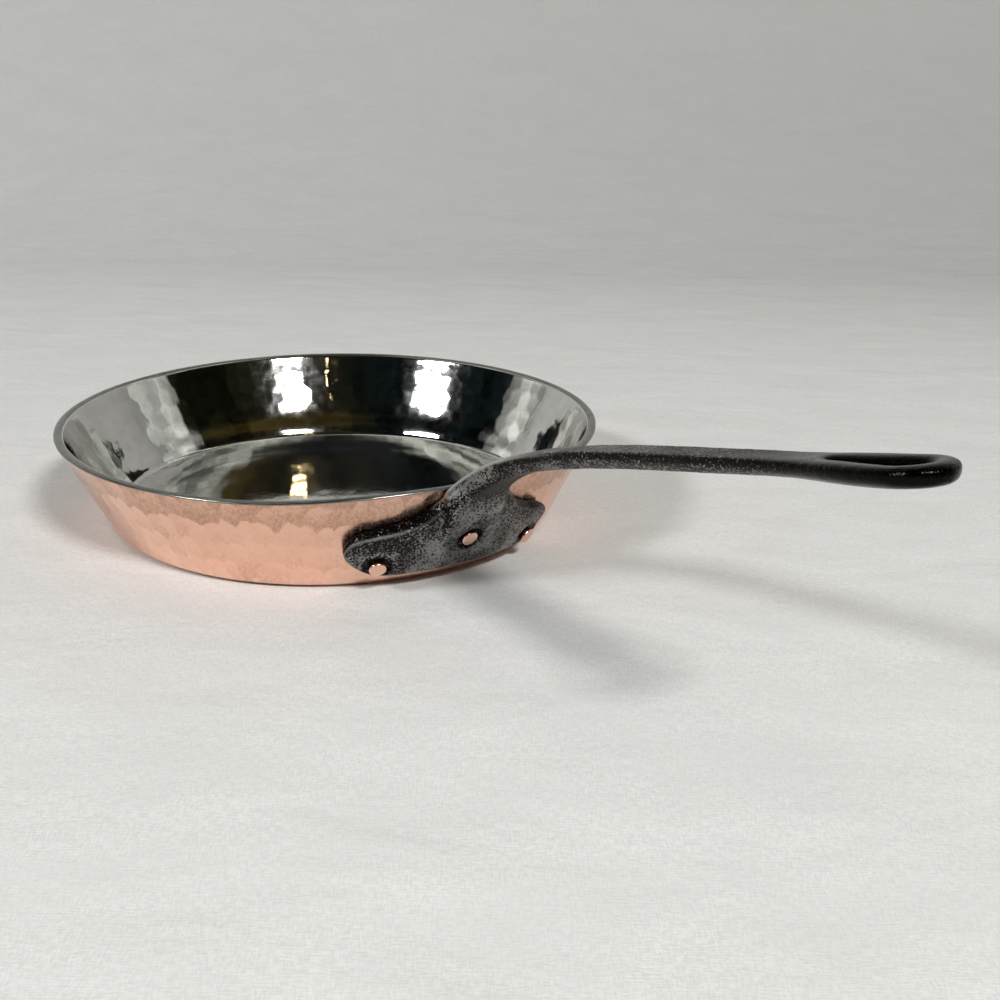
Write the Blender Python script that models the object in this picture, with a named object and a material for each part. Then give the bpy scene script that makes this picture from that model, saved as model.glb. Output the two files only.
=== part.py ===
"""Hammered copper frying pan: tinned inside, with a cast-iron handle held on by three copper rivets.

Frame: metres, +Z up. The origin is the centre of the flat underside and the handle runs along +X.
"""

from math import atan2, cos, pi, radians, sin, tan

import bmesh
import bpy
import numpy as np
from mathutils import Matrix, Vector

MM = 0.001

# Pan
RIM_RADIUS = 140 * MM
RIM_HEIGHT = 50 * MM
FOOT_RADIUS = 114.8 * MM  # where the straight wall, carried on down, meets the table
CORNER_RADIUS = 8 * MM
COPPER_THICKNESS = 2.6 * MM
TIN_THICKNESS = 0.4 * MM
GAP = 0.3 * MM  # clearance between touching pieces
PAN_SEGMENTS = 96
CORNER_STEPS = 6
WALL_STEPS = 4
RIM_LIFT = 3.3 * MM  # hammering in the handle has drawn the rim up beside it
LIFT_FULL_ANGLE = radians(10)
LIFT_END_ANGLE = radians(45)

FLARE = atan2(RIM_RADIUS - FOOT_RADIUS, RIM_HEIGHT)  # the wall's lean from upright
LINING_OFFSET = COPPER_THICKNESS + GAP
WALL_THICKNESS = LINING_OFFSET + TIN_THICKNESS

# Rivets: one under the neck and one in each wing, square to the wall
CENTER_RIVET = (0.0, 27.5 * MM)  # angle round the pan, height on the wall
SIDE_RIVET_ANGLE = radians(18.5)
LEFT_RIVET_HEIGHT = 17.1 * MM
RIGHT_RIVET_HEIGHT = 16.1 * MM
RIVET_RADIUS = 3.2 * MM
OUTER_HEAD_RADIUS = 4.0 * MM
OUTER_HEAD_HEIGHT = 2.6 * MM
INNER_HEAD_RADIUS = 6.0 * MM
INNER_HEAD_HEIGHT = 1.6 * MM
RIVET_SEGMENTS = 24
HEAD_STEPS = 5

# Handle plate: thickness out from the wall, and the edge lines as (sideways, height) pairs
PLATE_THICKNESS = 7.0 * MM
WING_TIP_THICKNESS = 5.4 * MM
WING_TIP = 54.4 * MM
RECESS_RADIUS = 6.3 * MM
RECESS_DEPTH = 1.2 * MM
PLATE_TOP_EDGE = [
    (0.0, 49.5), (15.0, 49.3), (17.9, 46.8), (21.0, 42.7), (25.0, 40.0), (33.0, 37.0),
    (41.0, 35.0), (47.0, 33.2), (51.0, 30.8), (53.5, 27.4), (54.4, 23.5),
]  # millimetres
PLATE_BOTTOM_EDGE = [
    (0.0, 7.6), (30.0, 7.4), (37.0, 7.7), (42.0, 8.9), (46.5, 11.2), (50.3, 14.3),
    (53.2, 18.3), (54.4, 23.5),
]  # millimetres
RIGHT_WING_DROP = 2.8 * MM  # the casting's right wing (+Y) is a little lower and shorter
RIGHT_WING_SCALE = 0.95
RIGHT_WING_START = 18 * MM  # sideways from the middle, where the right wing starts to differ
RIGHT_WING_FULL = 36 * MM
RIGHT_WING_TIP_START = 50 * MM
TOP_EDGE_SLANT = 4.6 * MM  # how far the front of the top edge is set below its back
WING_EDGE_SLANT = 1.8 * MM
BOTTOM_EDGE_SLANT = 0.6 * MM
TOP_ROUND_DEPTH = 2.4 * MM  # the plate's front edges are rounded in two steps
TOP_ROUND_SECOND_DEPTH = 0.9 * MM
TOP_ROUND_INSET = 1.4 * MM
BOTTOM_ROUND = 1.2 * MM
FULL_ROUND_HEIGHT = 12 * MM  # where the plate is lower than this it is rounded less
LARGEST_SHARE = 0.3  # of the height that one slanted edge may take
PLATE_END_SHARE = 0.9985  # the outermost section stops just short of the tip's point
PLATE_COLUMNS = 44

# Handle neck, shank and loop: stations along the back and top surface, in millimetres.
# Each is (distance from the axis, height, half width, thickness, side depth, belly half width).
HANDLE_STATIONS = [
    (123.0, 16.0, 13.0, 6.6, 5.0, 11.0),
    (130.2, 30.0, 15.0, 7.4, 5.0, 12.6),
    (135.3, 40.0, 16.0, 8.6, 5.0, 13.0),
    (140.4, 50.0, 16.4, 9.2, 4.8, 12.4),
    (142.8, 53.8, 15.6, 9.4, 4.6, 11.4),
    (147.1, 58.5, 13.5, 9.4, 4.2, 9.8),
    (152.7, 63.1, 12.0, 9.3, 3.8, 8.4),
    (159.8, 67.9, 11.0, 9.1, 3.6, 7.4),
    (168.5, 72.6, 10.3, 8.8, 3.4, 6.8),
    (179.0, 77.2, 9.9, 8.5, 3.2, 6.2),
    (193.0, 82.2, 9.6, 8.2, 3.0, 5.8),
    (215.0, 88.9, 9.5, 7.8, 2.8, 5.4),
    (244.0, 96.6, 9.4, 7.4, 2.8, 5.2),
    (280.0, 105.3, 9.3, 7.0, 2.8, 5.4),
    (312.0, 112.9, 9.4, 6.6, 3.0, 5.8),
    (328.0, 116.7, 10.2, 6.5, 3.2, 6.8),
    (341.0, 119.8, 12.0, 6.7, 3.4, 8.8),
    (353.0, 122.6, 13.5, 6.9, 3.5, 10.4),
    (366.0, 125.7, 14.2, 6.9, 3.5, 10.9),
]
LOOP_END_RADIUS = 14.2 * MM
NECK_SHIFT = -1.6 * MM  # the neck leaves the plate a little left of the middle
NECK_SHIFT_FADE = (141 * MM, 166 * MM)
TOP_EASE = 0.8 * MM  # rounding of the bar's top edges
BELLY_ROUND_INSET = 1.2 * MM
BELLY_ROUND_DEPTH = 0.35 * MM
LOOP_END_STEPS = 7
STEPS_PER_STATION = 3

# Teardrop hanging hole, measured along the shank's top from the loop's centre
HOLE_RADIUS = 6.4 * MM
HOLE_POINT = 30.0 * MM
HOLE_POINT_RADIUS = 1.6 * MM
HOLE_ARC_STEPS = 10

COPPER_COLOUR = (0.78, 0.36, 0.22, 1.0)
TIN_COLOUR = (0.62, 0.61, 0.58, 1.0)
IRON_COLOUR = (0.035, 0.032, 0.030, 1.0)


def clear_scene():
    for obj in list(bpy.data.objects):
        bpy.data.objects.remove(obj, do_unlink=True)


def make_material(name, colour, roughness, metallic=1.0):
    material = bpy.data.materials.new(name)
    material.use_nodes = True
    shader = material.node_tree.nodes["Principled BSDF"]
    shader.inputs["Base Color"].default_value = colour
    shader.inputs["Roughness"].default_value = roughness
    shader.inputs["Metallic"].default_value = metallic
    return material


def add_object(name, bm, material=None, guide=False):
    """Turn a bmesh into a named object; a guide is only used by other objects' modifiers."""
    bmesh.ops.recalc_face_normals(bm, faces=bm.faces)
    if bm.calc_volume(signed=True) < 0:
        bmesh.ops.reverse_faces(bm, faces=bm.faces)
    mesh = bpy.data.meshes.new(name)
    bm.to_mesh(mesh)
    bm.free()
    mesh.shade_smooth()
    mesh.set_sharp_from_angle(angle=radians(35))
    obj = bpy.data.objects.new(name, mesh)
    bpy.context.scene.collection.objects.link(obj)
    if material:
        mesh.materials.append(material)
    if guide:
        obj.hide_render = True
        obj.display_type = "WIRE"
    return obj


def add_boolean(target, guide, operation):
    modifier = target.modifiers.new(guide.name, "BOOLEAN")
    modifier.operation = operation
    modifier.solver = "EXACT"
    modifier.object = guide


def smooth_curve(points, steps):
    """Catmull-Rom curve through rows of numbers, with the given steps between neighbours."""
    rows = np.array(points, float)
    padded = np.vstack([2 * rows[0] - rows[1], rows, 2 * rows[-1] - rows[-2]])
    curve = []
    for before, start, end, after in zip(padded, padded[1:], padded[2:], padded[3:]):
        for step in range(steps):
            t = step / steps
            curve.append(
                0.5
                * (
                    2 * start
                    + (end - before) * t
                    + (2 * before - 5 * start + 4 * end - after) * t**2
                    + (3 * start - 3 * end + after - before) * t**3
                )
            )
    curve.append(rows[-1])
    return np.array(curve)


def wall_radius(height, offset=0.0):
    """Distance of the wall from the axis, moved square to the wall by an outward offset."""
    return FOOT_RADIUS + height * tan(FLARE) + offset / cos(FLARE)


# ---------------------------------------------------------------- pan


def pan_line(inset, top):
    """The pan's outer line moved inward by inset, from the axis out and up to the height top."""
    flat_end = FOOT_RADIUS - CORNER_RADIUS * tan((pi / 2 - FLARE) / 2)
    radius = CORNER_RADIUS - inset
    line = [(0.0, inset)]
    for step in range(CORNER_STEPS + 1):
        angle = -pi / 2 + (pi / 2 - FLARE) * step / CORNER_STEPS
        line.append((flat_end + radius * cos(angle), CORNER_RADIUS + radius * sin(angle)))
    start = line[-1][1]
    for step in range(1, WALL_STEPS + 1):
        height = start + (top - start) * step / WALL_STEPS
        line.append((wall_radius(height, -inset), height))
    return line


def rim_lift(angle):
    """How far the rim stands above its level at this angle from the handle."""
    reach = (abs(angle) - LIFT_FULL_ANGLE) / (LIFT_END_ANGLE - LIFT_FULL_ANGLE)
    reach = min(max(reach, 0.0), 1.0)
    return RIM_LIFT * (1 - reach * reach * (3 - 2 * reach))


def lift_rim(bm):
    """Draw the wall up along its own slope beside the handle, most at the rim."""
    for vert in bm.verts:
        radius = Vector(vert.co.xy).length
        if radius < FOOT_RADIUS - CORNER_RADIUS:
            continue
        lift = rim_lift(atan2(vert.co.y, vert.co.x)) * (vert.co.z / RIM_HEIGHT) ** 2
        stretch = 1 + lift * tan(FLARE) / radius
        vert.co = (vert.co.x * stretch, vert.co.y * stretch, vert.co.z + lift)
    return bm


def turned(line, segments=PAN_SEGMENTS):
    """Turn an (x, z) line, which starts and ends on the axis, about Z into a closed solid."""
    bm = bmesh.new()
    verts = [bm.verts.new((x, 0.0, z)) for x, z in line]
    edges = [bm.edges.new(pair) for pair in zip(verts, verts[1:])]
    bmesh.ops.spin(
        bm,
        geom=verts + edges,
        cent=(0, 0, 0),
        axis=(0, 0, 1),
        angle=2 * pi,
        steps=segments,
        use_merge=True,
    )
    bmesh.ops.remove_doubles(bm, verts=bm.verts, dist=0.001 * MM)
    return bm


def rivet_places():
    """Name, angle round the pan and height on the wall of each rivet."""
    return [
        ("rivet_center", *CENTER_RIVET),
        ("rivet_left", -SIDE_RIVET_ANGLE, LEFT_RIVET_HEIGHT),
        ("rivet_right", SIDE_RIVET_ANGLE, RIGHT_RIVET_HEIGHT),
    ]


def rivet_matrix(angle, height):
    """Places a shape whose +Z is the rivet's outward axis and whose origin is on the outer wall."""
    outward = Vector((cos(FLARE) * cos(angle), cos(FLARE) * sin(angle), -sin(FLARE)))
    radius = wall_radius(height)
    place = Vector((radius * cos(angle), radius * sin(angle), height))
    return Matrix.Translation(place) @ outward.to_track_quat("Z", "X").to_matrix().to_4x4()


def add_turned_on_rivet(name, line, angle, height, material=None, guide=False):
    bm = turned(line, RIVET_SEGMENTS)
    bm.transform(rivet_matrix(angle, height))
    return add_object(name, bm, material, guide)


def add_holes(target, radius, low, high):
    """Cut a round hole for each rivet, from low to high along the rivet's axis."""
    for name, angle, height in rivet_places():
        line = [(0, low), (radius, low), (radius, high), (0, high)]
        guide_name = f"{name}_hole_in_{target.name}"
        hole = add_turned_on_rivet(guide_name, line, angle, height, guide=True)
        add_boolean(target, hole, "DIFFERENCE")


def build_copper_body(material):
    top = RIM_HEIGHT - TIN_THICKNESS - GAP
    outside = pan_line(0.0, top)
    inside = pan_line(COPPER_THICKNESS, top)
    body = add_object("copper_body", lift_rim(turned(outside + inside[::-1])), material)
    add_holes(body, RIVET_RADIUS + GAP, -COPPER_THICKNESS - 2 * MM, 2 * MM)
    return body


def dome_line(base, radius, rise, steps=HEAD_STEPS):
    """Low dome from its rim at (radius, base) in to the axis at base + rise."""
    ball = (radius**2 + rise**2) / (2 * rise)
    half_angle = atan2(radius, ball - rise)
    centre = base + rise - ball
    angles = [half_angle * (1 - step / steps) for step in range(steps)]
    return [(ball * sin(a), centre + ball * cos(a)) for a in angles] + [(0.0, base + rise)]


def build_tin_lining(material):
    """A thin shell over the copper's inside and rim, raised where it covers the rivets' heads."""
    flange_underside = RIM_HEIGHT - TIN_THICKNESS
    underside = pan_line(LINING_OFFSET, flange_underside)
    flange = [
        (wall_radius(flange_underside), flange_underside),
        (wall_radius(RIM_HEIGHT), RIM_HEIGHT),
    ]
    face = pan_line(WALL_THICKNESS, RIM_HEIGHT)
    shell = lift_rim(turned(underside + flange + face[::-1]))
    lining = add_object("tin_lining", shell, material)
    for name, angle, height in rivet_places():
        for part, grow, operation in (
            ("blister", GAP + TIN_THICKNESS, "UNION"),
            ("pocket", GAP, "DIFFERENCE"),
        ):
            # Square to the wall, -z runs into the pan, so the dome is turned over.
            radius = INNER_HEAD_RADIUS + grow
            start = LINING_OFFSET + (0.1 * MM if operation == "UNION" else -0.1 * MM)
            rise = COPPER_THICKNESS + GAP + INNER_HEAD_HEIGHT + grow - start
            line = [(r, -z) for r, z in dome_line(start, radius, rise)]
            dome = add_turned_on_rivet(
                f"{name}_{part}", [(0.0, -start)] + line, angle, height, guide=True
            )
            add_boolean(lining, dome, operation)
    return lining


def build_rivet(name, angle, height, material):
    """Low head inside the copper wall, shank through wall and plate, and a proud outer head."""
    head_seat = PLATE_THICKNESS * cos(FLARE) + GAP - RECESS_DEPTH + GAP
    inner_seat = COPPER_THICKNESS + GAP
    outer = dome_line(head_seat + 0.4 * OUTER_HEAD_HEIGHT, OUTER_HEAD_RADIUS, 0.6 * OUTER_HEAD_HEIGHT)
    inner = [(r, -z) for r, z in dome_line(inner_seat, INNER_HEAD_RADIUS, INNER_HEAD_HEIGHT)]
    line = (
        outer[::-1]
        + [(OUTER_HEAD_RADIUS, head_seat), (RIVET_RADIUS, head_seat)]
        + [(RIVET_RADIUS, -inner_seat)]
        + inner
    )
    return add_turned_on_rivet(name, line, angle, height, material)


# ---------------------------------------------------------------- handle


def loft(sections):
    """Closed solid through equal-sized rings of points, capped at both ends."""
    bm = bmesh.new()
    rings = [[bm.verts.new(point) for point in section] for section in sections]
    for ring, following in zip(rings, rings[1:]):
        for i in range(len(ring)):
            j = (i + 1) % len(ring)
            bm.faces.new((ring[i], ring[j], following[j], following[i]))
    bm.faces.new(rings[0][::-1])
    bm.faces.new(rings[-1])
    return bm


def plate_section(side, top, bottom):
    """Cross-section of the winged plate in the upright plane through the axis at this side."""
    reach = abs(side) / WING_TIP
    thickness = PLATE_THICKNESS + (WING_TIP_THICKNESS - PLATE_THICKNESS) * reach**4
    slant = TOP_EDGE_SLANT + (WING_EDGE_SLANT - TOP_EDGE_SLANT) * reach**2
    height = top - bottom
    front_top = top - min(slant, LARGEST_SHARE * height)
    front_bottom = bottom + min(BOTTOM_EDGE_SLANT, LARGEST_SHARE * height)
    rounding = min(1, height / FULL_ROUND_HEIGHT)
    angle = np.arcsin(side / wall_radius((top + bottom) / 2))
    corners = [
        (bottom, 0.0),
        (top, 0.0),
        (0.7 * front_top + 0.3 * top, thickness - TOP_ROUND_DEPTH),
        (front_top, thickness - TOP_ROUND_SECOND_DEPTH),
        (front_top - TOP_ROUND_INSET * rounding, thickness),
        (front_bottom + BOTTOM_ROUND * rounding, thickness),
        (front_bottom, thickness - BOTTOM_ROUND),
    ]
    section = []
    for level, out in corners:
        radius = wall_radius(level, GAP) + out
        section.append((radius * cos(angle), radius * sin(angle), level))
    return section


def build_plate_guide():
    top_edge = smooth_curve(PLATE_TOP_EDGE, 8) * MM
    bottom_edge = smooth_curve(PLATE_BOTTOM_EDGE, 8) * MM
    sections = []
    for column in range(PLATE_COLUMNS + 1):
        turn = pi * (column / PLATE_COLUMNS - 0.5)
        side = PLATE_END_SHARE * WING_TIP * sin(turn)
        top = np.interp(abs(side), top_edge[:, 0], top_edge[:, 1])
        bottom = np.interp(abs(side), bottom_edge[:, 0], bottom_edge[:, 1])
        if side > 0:
            drop = np.interp(side, (RIGHT_WING_START, RIGHT_WING_FULL), (0, RIGHT_WING_DROP))
            top -= drop * np.interp(side, (RIGHT_WING_TIP_START, WING_TIP), (1, 0))
            shorter = np.interp(side, (RIGHT_WING_START, WING_TIP), (0, 1 - RIGHT_WING_SCALE))
            side *= 1 - shorter
        sections.append(plate_section(side, top, bottom))
    return add_object("handle_plate", loft(sections), guide=True)


def bar_section(place, along, half_width, thickness, side_depth, belly):
    """Flat top, upright sides and bevels in to a narrower belly; down is square to the path."""
    down = Vector((along.z, 0.0, -along.x))
    across = Vector((0.0, 1.0, 0.0))
    ease = min(TOP_EASE, 0.3 * half_width)
    half = [
        (half_width - ease, 0.0),
        (half_width - 0.3 * ease, 0.3 * ease),
        (half_width, ease),
        (half_width, side_depth),
        (0.6 * half_width + 0.4 * belly, side_depth + 0.48 * (thickness - side_depth)),
        (belly, thickness - BELLY_ROUND_DEPTH),
        (belly - min(BELLY_ROUND_INSET, 0.3 * belly), thickness),
    ]
    outline = half + [(-wide, deep) for wide, deep in half[::-1]]
    return [place + across * wide + down * deep for wide, deep in outline]


def build_bar_guide():
    """Neck, shank and loop blank, lofted along the handle's back and top surface."""
    curve = smooth_curve(HANDLE_STATIONS, STEPS_PER_STATION) * MM
    shift = np.interp(curve[:, 0], NECK_SHIFT_FADE, (NECK_SHIFT, 0.0))
    places = [Vector((row[0], side, row[1])) for row, side in zip(curve, shift)]
    sections = []
    for i, row in enumerate(curve):
        along = places[min(i + 1, len(places) - 1)] - places[max(i - 1, 0)]
        along = Vector((along.x, 0.0, along.z)).normalized()
        sections.append(bar_section(places[i], along, *row[2:]))
    end, along = places[-1], (places[-1] - places[-2]).normalized()
    half_width, thickness, side_depth, belly = curve[-1][2:]
    for step in range(1, LOOP_END_STEPS + 1):
        angle = 0.97 * pi / 2 * step / LOOP_END_STEPS
        narrow = cos(angle)
        drop = 0.9 * MM * (1 - narrow) ** 2
        down = Vector((along.z, 0.0, -along.x))
        place = end + along * LOOP_END_RADIUS * sin(angle) + down * drop
        thin = thickness - 2 * drop
        # The belly's own edge turns in on a smaller circle than the outline.
        sections.append(
            bar_section(place, along, half_width * narrow, thin, side_depth - drop, belly * narrow)
        )
    return add_object("handle_bar", loft(sections), guide=True), end, along


def build_hole_guide(centre, along):
    """Teardrop prism through the loop, its point towards the pan."""
    spread = np.arccos((HOLE_RADIUS - HOLE_POINT_RADIUS) / HOLE_POINT)
    outline = []
    for radius, middle, start, end in (
        (HOLE_RADIUS, 0.0, -(pi - spread), pi - spread),
        (HOLE_POINT_RADIUS, -HOLE_POINT, pi - spread, pi + spread),
    ):
        for step in range(HOLE_ARC_STEPS + 1):
            angle = start + (end - start) * step / HOLE_ARC_STEPS
            outline.append((middle + radius * cos(angle), radius * sin(angle)))
    up = Vector((-along.z, 0.0, along.x))
    across = Vector((0.0, 1.0, 0.0))
    ends = [
        [centre + along * a + across * b + up * lift for a, b in outline]
        for lift in (-15 * MM, 6 * MM)
    ]
    return add_object("hanging_hole", loft(ends), guide=True)


def build_handle(material):
    handle = add_object("handle", bmesh.new(), material)
    plate = build_plate_guide()
    bar, loop_centre, along = build_bar_guide()
    handle.data = plate.data.copy()
    handle.data.name = "handle"
    handle.data.materials.append(material)
    add_boolean(handle, bar, "UNION")
    # The back follows the wall, and stands clear above the rim.
    below, above = -5 * MM, RIM_HEIGHT + RIM_LIFT
    clear_line = [
        (0.0, below),
        (wall_radius(below, GAP), below),
        (wall_radius(above, GAP), above),
        (0.0, above),
    ]
    clearance = add_object("wall_clearance", turned(clear_line), guide=True)
    add_boolean(handle, clearance, "DIFFERENCE")
    add_boolean(handle, build_hole_guide(loop_centre, along), "DIFFERENCE")
    add_holes(handle, RIVET_RADIUS + GAP, -2 * MM, 20 * MM)
    floor = PLATE_THICKNESS * cos(FLARE) + GAP - RECESS_DEPTH
    for name, angle, height in rivet_places():
        line = [(0, floor), (RECESS_RADIUS, floor), (RECESS_RADIUS + 1 * MM, 20 * MM), (0, 20 * MM)]
        recess = add_turned_on_rivet(f"{name}_recess", line, angle, height, guide=True)
        add_boolean(handle, recess, "DIFFERENCE")
    return handle


def main():
    clear_scene()
    copper = make_material("hammered_copper", COPPER_COLOUR, 0.25)
    tin = make_material("wiped_tin", TIN_COLOUR, 0.15)
    iron = make_material("cast_iron", IRON_COLOUR, 0.45, metallic=0.6)
    build_copper_body(copper)
    build_tin_lining(tin)
    build_handle(iron)
    for name, angle, height in rivet_places():
        build_rivet(name, angle, height, copper)


main()
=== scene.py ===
"""Looks of the hammered copper frying pan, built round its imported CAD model.

Metres, +Z up: the origin is the centre of the pan's underside and the handle runs along +X.
"""
from math import atan2, cos, pi, radians, sin, tan

import bmesh
import bpy
import numpy as np
from mathutils import Matrix, Vector, noise
from mathutils.bvhtree import BVHTree


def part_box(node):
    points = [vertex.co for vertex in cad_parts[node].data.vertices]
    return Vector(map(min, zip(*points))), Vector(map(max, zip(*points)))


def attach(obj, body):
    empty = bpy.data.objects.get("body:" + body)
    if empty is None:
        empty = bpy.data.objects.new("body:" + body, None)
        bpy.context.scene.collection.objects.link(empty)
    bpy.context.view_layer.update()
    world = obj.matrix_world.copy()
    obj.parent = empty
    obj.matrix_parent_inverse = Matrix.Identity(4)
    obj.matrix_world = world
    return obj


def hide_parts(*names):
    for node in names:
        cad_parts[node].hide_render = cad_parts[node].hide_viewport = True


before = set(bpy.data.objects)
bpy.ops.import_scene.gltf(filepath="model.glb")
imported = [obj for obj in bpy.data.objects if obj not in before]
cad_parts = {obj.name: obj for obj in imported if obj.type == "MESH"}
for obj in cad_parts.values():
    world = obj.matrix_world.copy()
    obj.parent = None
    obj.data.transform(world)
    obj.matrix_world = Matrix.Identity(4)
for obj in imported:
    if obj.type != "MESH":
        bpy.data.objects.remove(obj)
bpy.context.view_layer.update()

MM = 0.001
SEED = 11

# The pan's section, as in the CAD model
RIM_RADIUS = -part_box("tin_lining")[0].x
RIM_HEIGHT = 50 * MM
FOOT_RADIUS = 114.8 * MM
CORNER_RADIUS = 8 * MM
LINING_OFFSET = 2.9 * MM
WALL_THICKNESS = 3.3 * MM
RIM_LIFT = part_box("tin_lining")[1].z - RIM_HEIGHT
LIFT_FULL_ANGLE = radians(10)
LIFT_END_ANGLE = radians(45)
FLARE = atan2(RIM_RADIUS - FOOT_RADIUS, RIM_HEIGHT)
COPPER_THICKNESS = 2.6 * MM
COPPER_TOP = RIM_HEIGHT - 0.7 * MM  # the copper's filed edge, under the lip of tin
BASE_DISHING = 0.25 * MM

# Rivets: name, angle round the pan, height on the wall
RIVETS = [
    ("rivet_center", 0.0, 27.5 * MM),
    ("rivet_left", radians(-18.5), 17.1 * MM),
    ("rivet_right", radians(18.5), 16.1 * MM),
]
RIVET_RADIUS = 3.2 * MM
OUTER_HEAD_HEIGHT = 2.6 * MM
INNER_HEAD_HEIGHT = 1.6 * MM

# Hammer blows on each side of the wall, as hammer_marks takes them
COPPER_BLOWS = {
    "width": 8.4 * MM,
    "rise": 13.5 * MM,
    "bowl": 36 * MM,
    "tail": 0.4,
    "softness": 0.010 * MM,
    "tilt": 0.012,
    "seed": SEED,
}
TIN_BLOWS = {
    "width": 8.0 * MM,
    "rise": 9.5 * MM,
    "bowl": 75 * MM,
    "tail": 1.0,
    "softness": 0.008 * MM,
    "tilt": 0.012,
    "seed": SEED + 1,
}
TIN_BLOW_SHARE = 0.38  # how much of a blow's depth the wiped tin leaves

# The tin: its puddle in the corner, thicker top, lip, blisters over the rivets and turned rings
PUDDLE_DEPTH = 1.8 * MM
PUDDLE_WIDTH = 9.5 * MM
TOP_THICKENING = 0.45 * MM
LIP_CROWN = 0.9 * MM
LIP_UNDERSIDE = RIM_HEIGHT - 1.2 * MM
BLISTER_RADIUS = 7.3 * MM
BLISTER_HEIGHT = 2.35 * MM
TURNING_PITCH = 11 * MM
TURNING_DEPTH = 0.010 * MM

# The casting
VOXEL = 0.6 * MM
RECESS_RADIUS = 6.4 * MM
SKIN_DEPTH = 0.055 * MM
LUMP_DEPTH = 0.08 * MM
LOOP_SWELLING = 0.30 * MM


# ---------------------------------------------------------------- shared helpers


def smoothstep(value, start, end):
    t = np.clip((value - start) / (end - start), 0.0, 1.0)
    return t * t * (3 - 2 * t)


def fractal(points, size, octaves=3, offset=0.0):
    """Smooth noise of about -1 to 1 at each point, with features of the given size."""
    shift = Vector((offset, offset * 0.7, offset * 1.3))
    return np.array(
        [noise.fractal(Vector(p) / size + shift, 1.0, 2.0, octaves) for p in points]
    )


def new_object(name, verts, faces):
    mesh = bpy.data.meshes.new(name)
    mesh.from_pydata([tuple(v) for v in verts], [], faces)
    mesh.update()
    mesh.shade_smooth()
    obj = bpy.data.objects.new(name, mesh)
    bpy.context.scene.collection.objects.link(obj)
    return obj


def set_attribute(obj, name, values):
    """Store one number per vertex for the material to read."""
    attribute = obj.data.attributes.new(name, "FLOAT", "POINT")
    attribute.data.foreach_set("value", np.asarray(values, np.float32))


def finish_piece(obj, node, material):
    obj.data.materials.clear()
    obj.data.materials.append(material)
    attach(obj, "root")
    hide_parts(node)


# ---------------------------------------------------------------- materials


class Shader:
    """A Principled material and short calls to add nodes to it."""

    def __init__(self, name, **settings):
        self.material = bpy.data.materials.new(name)
        self.material.use_nodes = True
        self.tree = self.material.node_tree
        self.principled = self.tree.nodes["Principled BSDF"]
        for socket, value in settings.items():
            self.principled.inputs[socket.replace("_", " ")].default_value = value
        self.coordinates = self.tree.nodes.new("ShaderNodeTexCoord").outputs["Object"]

    def put(self, socket, value):
        if isinstance(value, bpy.types.NodeSocket):
            self.tree.links.new(value, socket)
        else:
            socket.default_value = value

    def to(self, socket_name, value):
        self.put(self.principled.inputs[socket_name], value)

    def noise(self, size, detail=3.0, roughness=0.5, distortion=0.0, vector=None):
        node = self.tree.nodes.new("ShaderNodeTexNoise")
        self.put(node.inputs["Vector"], vector or self.coordinates)
        node.inputs["Scale"].default_value = 1.0 / size
        node.inputs["Detail"].default_value = detail
        node.inputs["Roughness"].default_value = roughness
        node.inputs["Distortion"].default_value = distortion
        return node.outputs["Fac"]

    def soft_cells(self, size):
        node = self.tree.nodes.new("ShaderNodeTexVoronoi")
        node.feature = "SMOOTH_F1"
        self.put(node.inputs["Vector"], self.coordinates)
        node.inputs["Scale"].default_value = 1.0 / size
        return node.outputs["Distance"]

    def stretched(self, x, y, z):
        node = self.tree.nodes.new("ShaderNodeMapping")
        self.put(node.inputs["Vector"], self.coordinates)
        node.inputs["Scale"].default_value = (x, y, z)
        return node.outputs["Vector"]

    def attribute(self, name):
        node = self.tree.nodes.new("ShaderNodeAttribute")
        node.attribute_name = name
        return node.outputs["Fac"]

    def math(self, operation, a, b):
        node = self.tree.nodes.new("ShaderNodeMath")
        node.operation = operation
        for socket, value in zip(node.inputs, (a, b)):
            self.put(socket, value)
        return node.outputs[0]

    def ramp(self, value, low, high, to_low=0.0, to_high=1.0):
        node = self.tree.nodes.new("ShaderNodeMapRange")
        node.interpolation_type = "SMOOTHSTEP"
        for name, number in (
            ("Value", value),
            ("From Min", low),
            ("From Max", high),
            ("To Min", to_low),
            ("To Max", to_high),
        ):
            self.put(node.inputs[name], number)
        return node.outputs["Result"]

    def mix(self, factor, a, b):
        node = self.tree.nodes.new("ShaderNodeMix")
        node.data_type = "RGBA"
        self.put(node.inputs["Factor"], factor)
        for socket, colour in ((node.inputs[6], a), (node.inputs[7], b)):
            self.put(socket, colour if isinstance(colour, bpy.types.NodeSocket) else (*colour, 1.0))
        return node.outputs[2]

    def bump(self, height, depth, onto=None):
        """Bump whose height of 0 to 1 stands for depth in metres."""
        node = self.tree.nodes.new("ShaderNodeBump")
        node.inputs["Distance"].default_value = depth
        self.put(node.inputs["Height"], height)
        if onto:
            self.put(node.inputs["Normal"], onto)
        return node.outputs["Normal"]


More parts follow.
